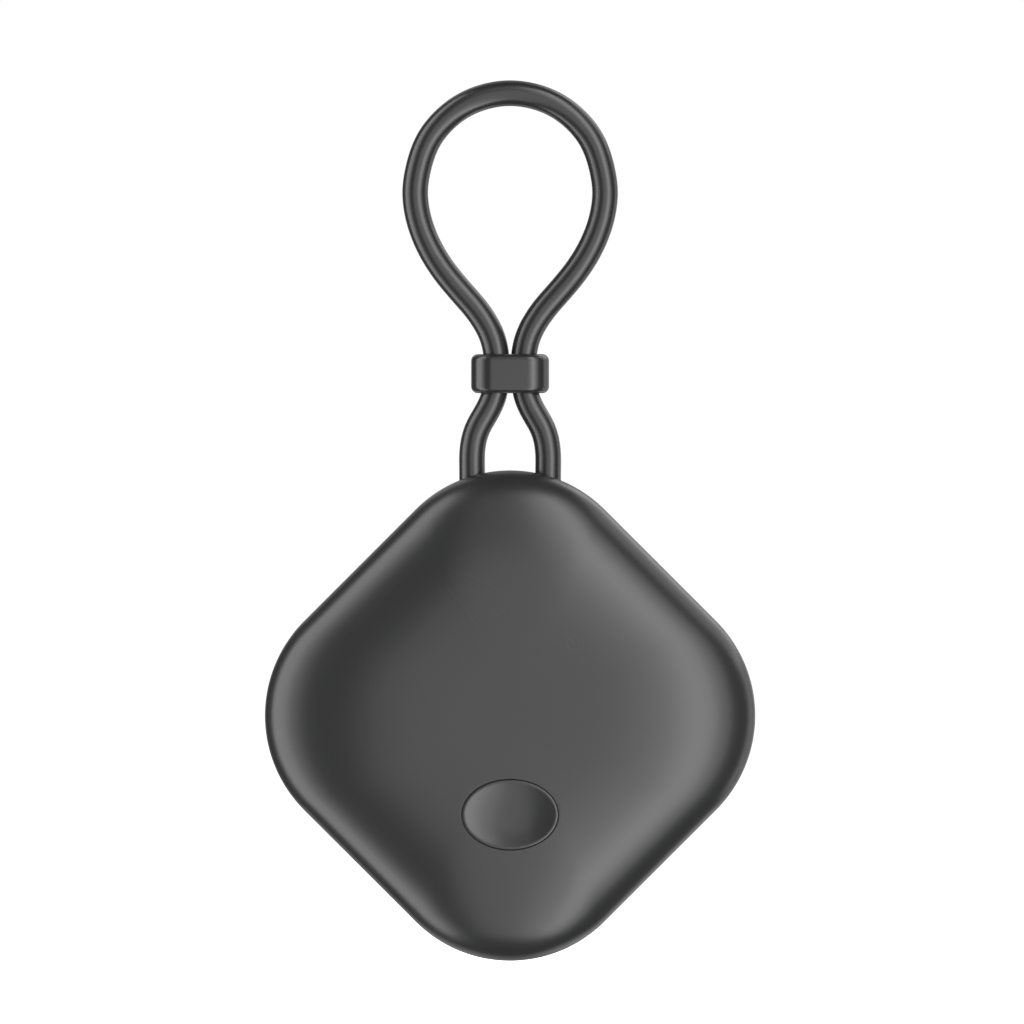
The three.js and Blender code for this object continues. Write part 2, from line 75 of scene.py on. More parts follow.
SEAM = 0.1 * MM                 # gap between the two shells' parting faces
SEAM_GROOVE = 0.3 * MM          # how deep the seam is open from outside
SEAM_CLOSED = 0.09 * MM         # the front shell's land fills the seam inside the groove, to this height
CENTRE = Vector((0, rear_low.y - SEAM, (shell_low.z + shell_high.z) / 2))
TIP = (shell_high.x - shell_low.x) / 2
CORNER = 0.545 * TIP            # corner radius
WALL = 1.2 * MM
FRONT_RISE = CENTRE.y - shell_low.y
FRONT_POWER = 3
REAR_FLAT = door_high.y - CENTRE.y
REAR_RISE = REAR_FLAT + 0.1 * MM
REAR_POWER = 8
REAR_SOFTNESS = 0.05 * MM       # how gently the back's dome runs into its flat
EDGE = 0.1 * MM                 # radius of the shells' moulded edges
DOME_START = 1.6 * EDGE         # how far from the parting face the domes' first ring lies
AROUND = 384                    # points round each shell

# ---- Camera: the photograph's straight front view, with a long lens ----

VIEW_WIDTH = 83.524 * MM        # width of the picture, at the tag
LENS = 600                      # focal length and sensor width, in millimetres
SENSOR = 36
NEAREST = 0.01
SIGHT = CENTRE + Vector((0.155, 0, 16.607)) * MM    # what the middle of the picture looks at


def add_camera():
    data = bpy.data.cameras.new("camera")
    data.lens = LENS
    data.sensor_width = SENSOR
    data.clip_start = NEAREST
    camera = bpy.data.objects.new("camera", data)
    camera.location = SIGHT - Vector((0, VIEW_WIDTH * LENS / SENSOR, 0))
    camera.rotation_euler = (math.pi / 2, 0, 0)
    bpy.context.scene.collection.objects.link(camera)
    bpy.context.scene.camera = camera


# ---- Meshes made of closed rings ----

SHARP = 40                      # degrees from which an edge is shaded as sharp
SHARP_CUT = 32                  # the same, on a piece with cuts


def ring_mesh(name, rings, ends="closed"):
    """A mesh whose closed rings of points are joined one to the next.
    ends is closed, where the last ring meets the first, or capped, where a point closes each end."""
    rings = [np.asarray(r, float) for r in rings]
    count = len(rings[0])
    points = np.vstack(rings)
    here = np.arange(count)
    after = (here + 1) % count
    pairs = [(i, i + 1) for i in range(len(rings) - 1)]
    if ends == "closed":
        pairs.append((len(rings) - 1, 0))
    faces = []
    for a, b in pairs:
        quads = np.stack([a * count + here, a * count + after, b * count + after, b * count + here], 1)
        faces += quads.tolist()
    if ends == "capped":
        for index, order in ((0, (after, here)), (len(rings) - 1, (here, after))):
            middle = len(points)
            points = np.vstack([points, rings[index].mean(0)])
            first, second = (index * count + side for side in order)
            faces += np.stack([first, second, np.full(count, middle)], 1).tolist()
    mesh = bpy.data.meshes.new(name)
    mesh.from_pydata(points.tolist(), [], faces)
    mesh.update()
    mesh.shade_smooth()
    mesh.set_sharp_from_angle(angle=math.radians(SHARP))
    piece = bpy.data.objects.new(name, mesh)
    bpy.context.scene.collection.objects.link(piece)
    return piece


def outward(piece):
    """Turns every face to point out of a closed mesh."""
    bpy.context.view_layer.objects.active = piece
    piece.select_set(True)
    bpy.ops.object.mode_set(mode="EDIT")
    bpy.ops.mesh.select_all(action="SELECT")
    bpy.ops.mesh.normals_make_consistent(inside=False)
    bpy.ops.object.mode_set(mode="OBJECT")
    piece.select_set(False)
    return piece


def cut(piece, *cutters):
    """Takes the cutters' shapes out of a piece."""
    for cutter in cutters:
        boolean = piece.modifiers.new("cut", "BOOLEAN")
        boolean.operation = "DIFFERENCE"
        boolean.solver = "EXACT"
        boolean.object = cutter
        bpy.context.view_layer.objects.active = piece
        bpy.ops.object.modifier_apply(modifier=boolean.name)
        bpy.data.objects.remove(cutter)
    piece.data.shade_smooth()
    piece.data.set_sharp_from_angle(angle=math.radians(SHARP_CUT))
    weighted = piece.modifiers.new("flat faces stay flat", "WEIGHTED_NORMAL")
    weighted.keep_sharp = True
    bpy.context.view_layer.objects.active = piece
    bpy.ops.object.modifier_apply(modifier=weighted.name)
    return piece


# ---- Cord ----

CORD_RADIUS = 1.05 * MM
CORD_X = 3.1 * MM
CORD_Y = (cord_low.y + cord_high.y) / 2
CORD_SIDES = 32
CORD_STEP = 0.22 * MM           # between the rings along the cord
CORD_EASING = 14                # rounds of evening out its bends
LOOP_MIDDLE = 43.09             # centre and radius of the loop's top, in millimetres
LOOP_RADIUS = 7.73
SPLINE_STEPS = 60               # fine points between two of a route's points

# The right leg and the side of the loop, as x and z in millimetres from the housing's centre.
CORD_ROUTE = [
    (3.1, 14.8),
    (3.1, 20),
    (3.1, 21.7),
    (2.73, 23.35),
    (1.88, 24.8),
    (1.26, 26.2),
    (1.11, 28),
    (1.13, 29.6),
    (1.55, 31.2),
    (2.63, 33),
    (4.1, 34.7),
    (5.45, 36.35),
    (6.51, 38.05),
    (7.26, 39.8),
    (7.69, 41.6),
]
LOOP_TOP_ANGLES = (3, 32, 61)   # degrees above the loop's widest place


def cord_points():
    right = list(CORD_ROUTE)
    for angle in np.radians(LOOP_TOP_ANGLES):
        right.append((LOOP_RADIUS * math.cos(angle), LOOP_MIDDLE + LOOP_RADIUS * math.sin(angle)))
    top = (0, LOOP_MIDDLE + LOOP_RADIUS)
    left = [(-x, z) for x, z in reversed(right)]
    return np.array(right + [top] + left) * MM


def spline(points, step):
    """Points a step apart on a centripetal Catmull-Rom curve."""
    ghost_first = 2 * points[0] - points[1]
    ghost_last = 2 * points[-1] - points[-2]
    p = np.vstack([ghost_first, points, ghost_last])
    knots = np.concatenate([[0], np.cumsum(np.linalg.norm(np.diff(p, axis=0), axis=1) ** 0.5)])
    fine = []
    for i in range(1, len(p) - 2):
        t0, t1, t2, t3 = knots[i - 1:i + 3]
        t = np.linspace(t1, t2, SPLINE_STEPS, endpoint=False)[:, None]
        a1 = ((t1 - t) * p[i - 1] + (t - t0) * p[i]) / (t1 - t0)
        a2 = ((t2 - t) * p[i] + (t - t1) * p[i + 1]) / (t2 - t1)
        a3 = ((t3 - t) * p[i + 1] + (t - t2) * p[i + 2]) / (t3 - t2)
        b1 = ((t2 - t) * a1 + (t - t0) * a2) / (t2 - t0)
        b2 = ((t3 - t) * a2 + (t - t1) * a3) / (t3 - t1)
        fine.append(((t2 - t) * b1 + (t - t1) * b2) / (t2 - t1))
    fine = np.vstack(fine + [points[-1:]])
    return evenly(fine, step)


def evenly(line, step):
    length = np.concatenate([[0], np.cumsum(np.linalg.norm(np.diff(line, axis=0), axis=1))])
    count = round(length[-1] / step) + 1
    at = np.linspace(0, length[-1], count)
    return np.stack([np.interp(at, length, line[:, k]) for k in range(line.shape[1])], 1)


def relax(line, rounds):
    """Evens out a line's bends, and leaves its ends where they are."""
    for _ in range(rounds):
        line[1:-1] = line[1:-1] / 2 + (line[:-2] + line[2:]) / 4
    return line


def add_cord():
    line = relax(spline(cord_points(), CORD_STEP), CORD_EASING)
    centres = np.stack([line[:, 0], np.full(len(line), CORD_Y), line[:, 1] + CENTRE.z], 1)
    tangents = np.gradient(centres, axis=0)
    tangents /= np.linalg.norm(tangents, axis=1)[:, None]
    depth = np.array([0, 1, 0])
    across = np.cross(tangents, depth)
    angles = np.linspace(0, 2 * math.pi, CORD_SIDES, endpoint=False)
    rings = [
        c + CORD_RADIUS * (np.cos(angles)[:, None] * n + np.sin(angles)[:, None] * depth)
        for c, n in zip(centres, across)
    ]
    return outward(ring_mesh("cord", rings, ends="capped")), centres


def follow_collar(cord):
    """Bakes the cord's placement into its mesh points."""
    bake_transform(cord)


# ---- Housing ----

def edge_distance(angle, tip, corner):
    """Distance from the centre to a rounded square's edge; its corners lie on the X and Z axes."""
    quarter = math.pi / 2
    turn = np.abs(angle - quarter * np.round(angle / quarter))
    offset = tip - corner
    tangent = math.atan2(corner, offset * math.sqrt(2) + corner)
    side = (offset * math.sqrt(0.5) + corner) / np.cos(quarter / 2 - turn)
    sine = np.minimum(np.abs(offset * np.sin(turn)), corner)
    arc = offset * np.cos(turn) + np.sqrt(corner ** 2 - sine ** 2)
    return np.where(turn > tangent, side, arc)


BEARINGS = np.linspace(0, 2 * math.pi, AROUND, endpoint=False)      # from +Z towards +X
WAY = np.stack([np.sin(BEARINGS), np.cos(BEARINGS)], 1)


def fraction(flat, inset=0.0):
    """How far points on the front view lie from the centre towards the edge, from 0 to 1."""
    distance = np.linalg.norm(flat, axis=1)
    angle = np.arctan2(flat[:, 0], flat[:, 1])
    return distance / edge_distance(angle, TIP - inset, CORNER - inset)


def front_depth(flat, inset=0.0):
    f = np.clip(fraction(flat, inset), 0, 1)
    return -(FRONT_RISE - inset) * np.sqrt(1 - f ** FRONT_POWER)


def rear_depth(flat, inset=0.0):
    f = np.clip(fraction(flat, inset), 0, 1)
    dome = (REAR_RISE - inset) * np.sqrt(1 - f ** REAR_POWER)
    flat_at = REAR_FLAT - inset
    return flat_at - REAR_SOFTNESS * np.log1p(np.exp((flat_at - dome) / REAR_SOFTNESS)) \
        + REAR_SOFTNESS * math.log1p(math.exp((flat_at - REAR_RISE + inset) / REAR_SOFTNESS))


def ring(flat, y):
    """A ring of points in the row frame, from their front view and their depth."""
    y = np.broadcast_to(y, len(flat))
    return np.stack([flat[:, 0], y + CENTRE.y, flat[:, 1] + CENTRE.z], 1)


def outline(scale=1.0, inset=0.0):
    distance = edge_distance(BEARINGS, TIP - inset, CORNER - inset)
    return WAY * (distance * scale)[:, None]


def oval(half_width, half_height, middle_z=0.0):
    return WAY * np.array([half_width, half_height]) + np.array([0, middle_z])


def dome_turns(rise, power, count, start=0.0, stop=0.97):
    """Pairs of scale and height from a dome's edge towards its middle."""
    for turn in np.linspace(start, stop * math.pi / 2, count):
        yield math.cos(turn) ** (2 / power), rise * math.sin(turn)


def moulded_edge(steps=4):
    """A quarter round as pairs (inset, drop), from the parting face to the outside."""
    for a in np.linspace(0, math.pi / 2, steps):
        yield EDGE * (1 - math.sin(a)), EDGE * (1 - math.cos(a))


# Key and its opening
KEY_MIDDLE = (key_low.z + key_high.z) / 2 - CENTRE.z
KEY_OPENING = np.array([3.97, 2.91]) * MM
KEY_GAP = 0.08 * MM
KEY_HALF = KEY_OPENING - KEY_GAP
KEY_SEAT = -3.4 * MM
KEY_LIP = 0.03 * MM             # radius of the opening's and the key's edges
KEY_RIM = 0.2 * MM              # width of the rounded rim round the dish
RIM_DROP = 0.03 * MM            # how far the rim falls to its outer side
RIM_INSIDE = 0.02 * MM          # how far it falls to the dish
DISH_DEPTH = 0.6 * MM
KEY_FLANGE = 0.44 * MM
KEY_FLANGE_FRONT = -3.3 * MM
KEY_FLANGE_BACK = -3.0 * MM
KEY_POST = np.array([0.9, 0.65]) * MM
KEY_SEAT_MARGIN = 0.8 * MM      # width of the opening's wall
FRONT_DOME_STOP = 0.62          # share of the dome's turn that its own rings take
INSIDE_BEND = 0.8               # share of the way out where the inside's rings get closer


def front_shell():
    """Outside from the parting face to the key's opening, the opening's wall, and the inside back."""
    rings = []
    for inset, drop in moulded_edge():
        rings.append(ring(outline(inset=inset), -drop))
    first = math.asin(DOME_START / FRONT_RISE)
    turns = list(dome_turns(FRONT_RISE, FRONT_POWER, 34, start=first, stop=FRONT_DOME_STOP))
    for scale, height in turns:
        rings.append(ring(outline(scale), -height))
    last = turns[-1][0]
    lip = oval(*(KEY_OPENING + KEY_LIP), KEY_MIDDLE)
    for share in np.linspace(0, 1, 50)[1:]:
        flat = outline(last) * (1 - share) + lip * share
        rings.append(ring(flat, front_depth(flat)))
    for a in np.linspace(0, math.pi / 2, 5)[1:]:
        flat = oval(*(KEY_OPENING + KEY_LIP * (1 - math.sin(a))), KEY_MIDDLE)
        rings.append(ring(flat, front_depth(flat) + KEY_LIP * (1 - math.cos(a))))
    rings.append(ring(oval(*KEY_OPENING, KEY_MIDDLE), KEY_SEAT))
    seat = oval(*(KEY_OPENING + KEY_SEAT_MARGIN), KEY_MIDDLE)
    rings.append(ring(seat, KEY_SEAT))
    rings.append(ring(seat, front_depth(seat, WALL)))
    for share in np.linspace(0, 1, 14)[1:]:
        flat = seat * (1 - share) + outline(INSIDE_BEND, WALL) * share
        rings.append(ring(flat, front_depth(flat, WALL)))
    for scale in np.linspace(INSIDE_BEND, 1, 12)[1:]:
        flat = outline(scale, WALL)
        rings.append(ring(flat, front_depth(flat, WALL)))
    rings.append(ring(outline(inset=WALL), SEAM_CLOSED))
    rings.append(ring(outline(inset=SEAM_GROOVE), SEAM_CLOSED))
    rings.append(ring(outline(inset=SEAM_GROOVE), 0))
    return outward(ring_mesh("housing_front", rings))


# Battery port
PORT_RECESS = 12.15 * MM
PORT_FLOOR = 3.0 * MM
PORT_BORE = 10.65 * MM
PORT_LIP = 2.0 * MM
PORT_OUTER = 13.0 * MM
REAR_DOME_STOP = 0.72           # share of the dome's turn that its own rings take
INSIDE_SCALES = (0.93, 0.96, 0.98, 0.99, 0.996)     # the inside's last rings, closer towards the edge

# Cord slots and lock marks
SLOT_HALF = 1.15 * MM
SLOT_LOW = 17.6 * MM
MARK_ON_SHELL = 12.9 * MM
MARK_ON_DOOR = 10.7 * MM
MARK_LOCKED = 0.5 * MM
MARK_OPEN = 0.3 * MM
MARK_DEPTH = 0.15 * MM
MARK_EDGE = 0.05 * MM
DOOR_TWIST = 30                 # degrees


def circle(radius, count=48):
    angles = np.linspace(0, 2 * math.pi, count, endpoint=False)
    return radius * np.stack([np.sin(angles), np.cos(angles)], 1)


def sunk_cutter(grow, depth, edge, middle=(0, 0)):
    """A cutter for a shape sunk in the back, whose line at a margin is grow(margin).
    It flares at the surface, so that the edge it leaves is rounded."""
    rings = []
    for a in np.linspace(0, math.pi / 2, 5):
        y = REAR_FLAT - depth + edge * (1 - math.cos(a))
        rings.append(ring(grow(edge * (math.sin(a) - 1)) + middle, y))
    for a in np.linspace(0, math.pi / 2, 6):
        y = REAR_FLAT - edge * (1 - math.sin(a))
        rings.append(ring(grow(edge * (1 - math.cos(a))) + middle, y))
    rings.append(ring(grow(edge) + middle, REAR_FLAT + MM))
    return outward(ring_mesh("cutter", rings, ends="capped"))


def mark_cutter(radius, distance, turn=0):
    angle = math.radians(turn)
    middle = np.array([distance * math.sin(angle), distance * math.cos(angle)])
    return sunk_cutter(lambda margin: circle(radius + margin), MARK_DEPTH, MARK_EDGE, middle)


def slot_cutter(side):
    """A slot for the cord, round behind it and open towards the parting face."""
    angles = np.linspace(-math.pi / 2, math.pi / 2, 24)
    middle = CORD_Y - CENTRE.y
    back = np.stack([SLOT_HALF * np.sin(angles), middle + SLOT_HALF * np.cos(angles)], 1)
    line = np.vstack([back, [[SLOT_HALF, -MM], [-SLOT_HALF, -MM]]])
    rings = []
    for z in (SLOT_LOW, TIP + MM):
        rings.append(np.stack([
            line[:, 0] + side * CORD_X,
            line[:, 1] + CENTRE.y,
            np.full(len(line), z + CENTRE.z),
        ], 1))
    return outward(ring_mesh("cutter", rings, ends="capped"))


def rear_shell():
    """Outside from the parting face to the battery port, its stepped wall, and the inside back."""
    rings = []
    for inset, drop in moulded_edge():
        rings.append(ring(outline(inset=inset), SEAM + drop))
    first = math.asin((SEAM + DOME_START) / REAR_RISE)
    turns = list(dome_turns(REAR_RISE, REAR_POWER, 44, start=first, stop=REAR_DOME_STOP))
    for scale, _ in turns:
        flat = outline(scale)
        rings.append(ring(flat, rear_depth(flat)))
    last = turns[-1][0]
    lip = WAY * (PORT_RECESS + EDGE)
    for share in np.linspace(0, 1, 16)[1:]:
        flat = outline(last) * (1 - share) + lip * share
        rings.append(ring(flat, rear_depth(flat)))
    for a in np.linspace(0, math.pi / 2, 5)[1:]:
        flat = WAY * (PORT_RECESS + EDGE * (1 - math.sin(a)))
        rings.append(ring(flat, rear_depth(flat) - EDGE * (1 - math.cos(a))))
    for radius, y in (
        (PORT_RECESS, PORT_FLOOR),
        (PORT_BORE, PORT_FLOOR),
        (PORT_BORE, PORT_LIP),
        (PORT_OUTER, PORT_LIP),
    ):
        rings.append(ring(WAY * radius, y))
    inner = WAY * PORT_OUTER
    rings.append(ring(inner, rear_depth(inner, WALL)))
    for share in np.linspace(0, 1, 10)[1:]:
        flat = inner * (1 - share) + outline(INSIDE_SCALES[0], WALL) * share
        rings.append(ring(flat, rear_depth(flat, WALL)))
    for scale in INSIDE_SCALES[1:]:
        flat = outline(scale, WALL)
        rings.append(ring(flat, rear_depth(flat, WALL)))
    rings.append(ring(outline(1, WALL), SEAM))
    shell = outward(ring_mesh("housing_rear", rings))
    return cut(
        shell,
        slot_cutter(-1),
        slot_cutter(1),
        mark_cutter(MARK_LOCKED, MARK_ON_SHELL),
        mark_cutter(MARK_OPEN, MARK_ON_SHELL, DOOR_TWIST),
    )


# ---- Battery door ----

DOOR_EDGE = 0.2 * MM
DOOR_SKIRT = 10.1 * MM
DOOR_NECK = 10.5 * MM
DOOR_STEP = 11.5 * MM
DOOR_SKIRT_BACK = 2.8 * MM
DOOR_STEP_FRONT = 3.1 * MM
DOOR_DISC_FRONT = 3.4 * MM
DOOR_SIDES = 256
COIN_SLOT_HALF = (5.5 * MM, 0.9 * MM)
COIN_SLOT_DEPTH = 0.6 * MM
COIN_SLOT_EDGE = 0.12 * MM
DOOR_RING_STEP = 0.25 * MM      # small faces keep the cuts' shading near the cuts


def door():
    """A disc with a rounded rim, a seal step and a skirt, and a slot for a coin across its back."""
    radius = door_high.x
    profile = [
        (DOOR_SKIRT, DOOR_SKIRT_BACK),
        (DOOR_SKIRT, door_low.y - CENTRE.y),
        (DOOR_NECK, door_low.y - CENTRE.y),
        (DOOR_NECK, DOOR_STEP_FRONT),
        (DOOR_STEP, DOOR_STEP_FRONT),
        (DOOR_STEP, DOOR_DISC_FRONT),
        (radius - DOOR_EDGE / 2, DOOR_DISC_FRONT),
        (radius, DOOR_DISC_FRONT + DOOR_EDGE / 2),
    ]
    for a in np.linspace(0, math.pi / 2, 8):
        profile.append((radius - DOOR_EDGE * (1 - math.cos(a)), REAR_FLAT - DOOR_EDGE * (1 - math.sin(a))))
    for r in np.arange(radius - 2 * DOOR_EDGE, COIN_SLOT_HALF[0], -DOOR_RING_STEP):
        profile.append((r, REAR_FLAT))
    rings = [ring(circle(r, DOOR_SIDES), y) for r, y in profile]
    straight = COIN_SLOT_HALF[0] - COIN_SLOT_HALF[1]
    coin_slot = sunk_cutter(
        lambda margin: stadium(straight, COIN_SLOT_HALF[1] + margin), COIN_SLOT_DEPTH, COIN_SLOT_EDGE,
    )
    piece = outward(ring_mesh("door", rings, ends="capped"))
    return cut(piece, coin_slot, mark_cutter(MARK_LOCKED, MARK_ON_DOOR))


# ---- Key ----

def key():
    """The dish, its rounded rim and the side that goes down into the housing."""
    middle = np.array([0, KEY_MIDDLE])
    dish_edge = oval(*(KEY_HALF - KEY_RIM), KEY_MIDDLE)
    edge_depth = front_depth(dish_edge) + RIM_INSIDE
    top, bottom = dish_edge[:, 1].argmax(), dish_edge[:, 1].argmin()
    tilt = (edge_depth[top] - edge_depth[bottom]) / (dish_edge[top, 1] - dish_edge[bottom, 1])
    rings = []
    for share in np.linspace(0.02, 1, 44):
        flat = middle + (dish_edge - middle) * share
        plane = edge_depth.mean() + tilt * (flat[:, 1] - KEY_MIDDLE)
        edge_plane = edge_depth.mean() + tilt * (dish_edge[:, 1] - KEY_MIDDLE)
        depth = plane + DISH_DEPTH * (1 - share ** 2) + (edge_depth - edge_plane) * share ** 2
        rings.append(ring(flat, depth))
    for share in np.linspace(0, 1, 10)[1:]:
        flat = oval(*(KEY_HALF - KEY_LIP - (KEY_RIM - KEY_LIP) * (1 - share)), KEY_MIDDLE)
        fall = RIM_INSIDE * (1 - share) ** 2 + RIM_DROP * share ** 2
        rings.append(ring(flat, front_depth(flat) + fall))
    for a in np.linspace(0, math.pi / 2, 4)[1:]:
        flat = oval(*(KEY_HALF - KEY_LIP * (1 - math.sin(a))), KEY_MIDDLE)
        rings.append(ring(flat, front_depth(flat) + RIM_DROP + KEY_LIP * (1 - math.cos(a))))
    flange = KEY_HALF + KEY_FLANGE
    for half, depth in (
        (KEY_HALF, KEY_FLANGE_FRONT),
        (flange, KEY_FLANGE_FRONT),
        (flange, KEY_FLANGE_BACK),
        (KEY_POST, KEY_FLANGE_BACK),
        (KEY_POST, key_high.y - CENTRE.y),
    ):
        rings.append(ring(oval(*half, KEY_MIDDLE), depth))
    return outward(ring_mesh("key", rings, ends="capped"))


# ---- Soft pieces under the key ----


def give_way(node):
    """A copy of a soft CAD piece, fixed to the housing in place of the CAD node, which is hidden."""
    original = frame["nodes"][node]
    piece = original.copy()
    piece.data = original.data.copy()
    piece.name = node + "_soft"
    bpy.context.scene.collection.objects.link(piece)
    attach(piece, "housing")
    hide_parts(node)
    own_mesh(piece)


# ---- Collar ----

COLLAR_ROUND = 0.55 * MM
COLLAR_SLOT_ROUND = 0.15 * MM
COLLAR_SLOT_STRAIGHT = 1.22 * MM        # half the straight part of the slot for both cords
COLLAR_SLOT_RADIUS = 1.18 * MM


def stadium(straight, radius, count=96):
    """A closed line of two half circles joined by straights that are 2 * straight long."""
    quarter = np.linspace(-math.pi / 2, math.pi / 2, count // 2)
    right = np.stack([straight + radius * np.cos(quarter), radius * np.sin(quarter)], 1)
    return np.vstack([right, -right])


def collar():
    """A rounded band round both cords; its section is followed up the outside and down the slot."""
    height = collar_high.z - collar_low.z
    middle = (collar_high.z + collar_low.z) / 2
    half_width, half_depth = collar_high.x, (collar_high.y - collar_low.y) / 2
    outer_straight = half_width - half_depth

    section = []
    for a in np.linspace(-math.pi / 2, 0, 9):
        section.append((outer_straight, half_depth - COLLAR_ROUND * (1 - math.cos(a)),
                        -height / 2 + COLLAR_ROUND * (1 + math.sin(a))))
    for a in np.linspace(0, math.pi / 2, 9):
        section.append((outer_straight, half_depth - COLLAR_ROUND * (1 - math.cos(a)),
                        height / 2 - COLLAR_ROUND * (1 - math.sin(a))))
    for a in np.linspace(0, math.pi / 2, 5):
        section.append((COLLAR_SLOT_STRAIGHT, COLLAR_SLOT_RADIUS + COLLAR_SLOT_ROUND * (1 - math.sin(a)),
                        height / 2 - COLLAR_SLOT_ROUND * (1 - math.cos(a))))
    for a in np.linspace(math.pi / 2, 0, 5):
        section.append((COLLAR_SLOT_STRAIGHT, COLLAR_SLOT_RADIUS + COLLAR_SLOT_ROUND * (1 - math.sin(a)),
                        -height / 2 + COLLAR_SLOT_ROUND * (1 - math.cos(a))))
    rings = []
    for straight, radius, z in section:
        line = stadium(straight, radius)
        rings.append(np.stack([line[:, 0], line[:, 1] + CORD_Y, np.full(len(line), middle + z)], 1))
    return outward(ring_mesh("collar", rings))


# ---- Materials ----

def principled(name, colour, roughness, **inputs):
    material = bpy.data.materials.new(name)
    material.use_nodes = True
    shader = material.node_tree.nodes["Principled BSDF"]
    shader.inputs["Base Color"].default_value = (*colour, 1)
    shader.inputs["Roughness"].default_value = roughness
    for key_name, value in inputs.items():
        shader.inputs[key_name].default_value = value
    return material


def add_noise(material, scale, detail=2.0):
    nodes, links = material.node_tree.nodes, material.node_tree.links
    place = nodes.new("ShaderNodeTexCoord")
    noise = nodes.new("ShaderNodeTexNoise")
    noise.inputs["Scale"].default_value = scale
    noise.inputs["Detail"].default_value = detail
    links.new(place.outputs["Object"], noise.inputs["Vector"])
    return noise


NOISE_RANGE = (0.2, 0.8)        # the part of the noise's range that is spread


def vary(material, socket, low, high, noise):
    """Lets a number wander between low and high over the surface."""
    nodes, links = material.node_tree.nodes, material.node_tree.links
    spread = nodes.new("ShaderNodeMapRange")
    spread.inputs["From Min"].default_value = NOISE_RANGE[0]
    spread.inputs["From Max"].default_value = NOISE_RANGE[1]
    spread.inputs["To Min"].default_value = low
    spread.inputs["To Max"].default_value = high
    links.new(noise.outputs["Fac"], spread.inputs["Value"])
    links.new(spread.outputs["Result"], material.node_tree.nodes["Principled BSDF"].inputs[socket])


def vary_colour(material, dark, light, noise):
    nodes, links = material.node_tree.nodes, material.node_tree.links
    mix = nodes.new("ShaderNodeMix")
    mix.data_type = "RGBA"
    mix.inputs["A"].default_value = (*dark, 1)
    mix.inputs["B"].default_value = (*light, 1)
    links.new(noise.outputs["Fac"], mix.inputs["Factor"])
    links.new(mix.outputs["Result"], nodes["Principled BSDF"].inputs["Base Color"])


def add_grain(material, scale, height):
    """A fine moulded texture, as bump."""
    nodes, links = material.node_tree.nodes, material.node_tree.links
    grain = add_noise(material, scale)
    bump = nodes.new("ShaderNodeBump")
    bump.inputs["Distance"].default_value = height
    links.new(grain.outputs["Fac"], bump.inputs["Height"])
    links.new(bump.outputs["Normal"], nodes["Principled BSDF"].inputs["Normal"])


def moulded_plastic(name, grey, roughness, grain_height):
    material = principled(name, (grey, grey * 1.01, grey * 1.02), roughness)
    vary(material, "Roughness", roughness - 0.01, roughness + 0.01, add_noise(material, 60))
    add_grain(material, 9000, grain_height)
    return material


def metal(name, colour, roughness, grain, grain_height):
    """Rolled or plated metal: a warm or cold tint, drawn-out wear and a fine grain."""
    material = principled(name, colour, roughness, Metallic=1.0)
    wear = add_noise(material, 900, 5)
    vary(material, "Roughness", roughness - 0.06, roughness + 0.08, wear)
    vary_colour(material, [c * 0.88 for c in colour], colour, wear)
    add_grain(material, grain, grain_height)
    return material


def silicone(name, colour, glow):
    material = principled(name, colour, 0.55)
    shader = material.node_tree.nodes["Principled BSDF"]
    shader.inputs["Subsurface Weight"].default_value = glow
    shader.inputs["Subsurface Radius"].default_value = (1, 1, 1)
    shader.inputs["Subsurface Scale"].default_value = 0.5 * MM
    slow = add_noise(material, 700, 3)
    vary(material, "Roughness", 0.5, 0.6, slow)
    add_grain(material, 6000, 0.5e-6)
    return material


def plastic(name, colour, roughness):
    material = principled(name, colour, roughness)
    slow = add_noise(material, 600, 3)
    vary(material, "Roughness", roughness - 0.04, roughness + 0.04, slow)
    vary_colour(material, [c * 0.94 for c in colour], colour, slow)
    add_grain(material, 8000, 0.6e-6)
    return material


def ceramic(name, colour, roughness):
    """Fired ceramic: fine dark specks in a pale body."""
    material = principled(name, colour, roughness)
    specks = add_noise(material, 5000, 6)
    vary_colour(material, [c * 0.7 for c in colour], colour, specks)
    vary(material, "Roughness", roughness - 0.05, roughness + 0.1, specks)
    add_grain(material, 7000, 0.8e-6)
    return material


